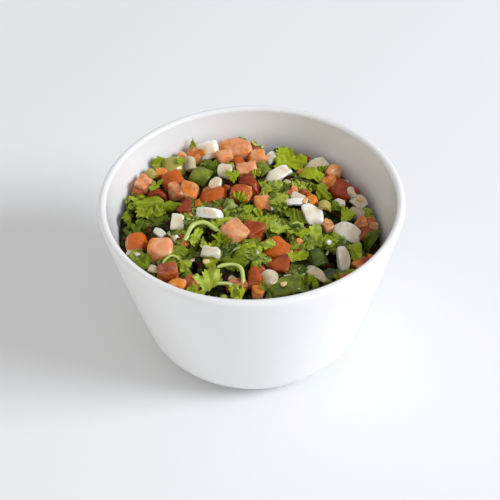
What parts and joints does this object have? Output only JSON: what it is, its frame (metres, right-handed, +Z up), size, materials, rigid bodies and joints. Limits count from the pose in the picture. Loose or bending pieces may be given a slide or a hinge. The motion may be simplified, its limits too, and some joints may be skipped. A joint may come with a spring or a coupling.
{
  "type": "pico de gallo",
  "caption": "Small white bowl filled with pico de gallo: diced tomato and onion, green chilli and chopped coriander.",
  "frame": {"origin": "on the table under the middle of the bowl's foot", "axes": "+Z up along the bowl's axis; the picture is taken from -Y, with +X to its right"},
  "size_m": [0.114, 0.114, 0.068],
  "materials": {
    "porcelain": "smooth white glaze over porcelain, with a dull unglazed foot ring",
    "salsa": "dark wet chopped vegetables and juice in the depth of the heap",
    "tomato": "wet cut tomato: orange-red skin, paler salmon flesh",
    "onion": "wet, slightly clear white onion with fine lines",
    "leaf": "damp fresh coriander leaf, paler along its veins",
    "chilli": "glossy green chilli skin with paler flesh",
    "stem": "pale green juicy coriander stalk",
    "seed": "cream-yellow tomato seed in a thin gel"
  },
  "bodies": {
    "root": {"bowl": "porcelain", "pico_de_gallo": "salsa"}
  },
  "joints": []
}
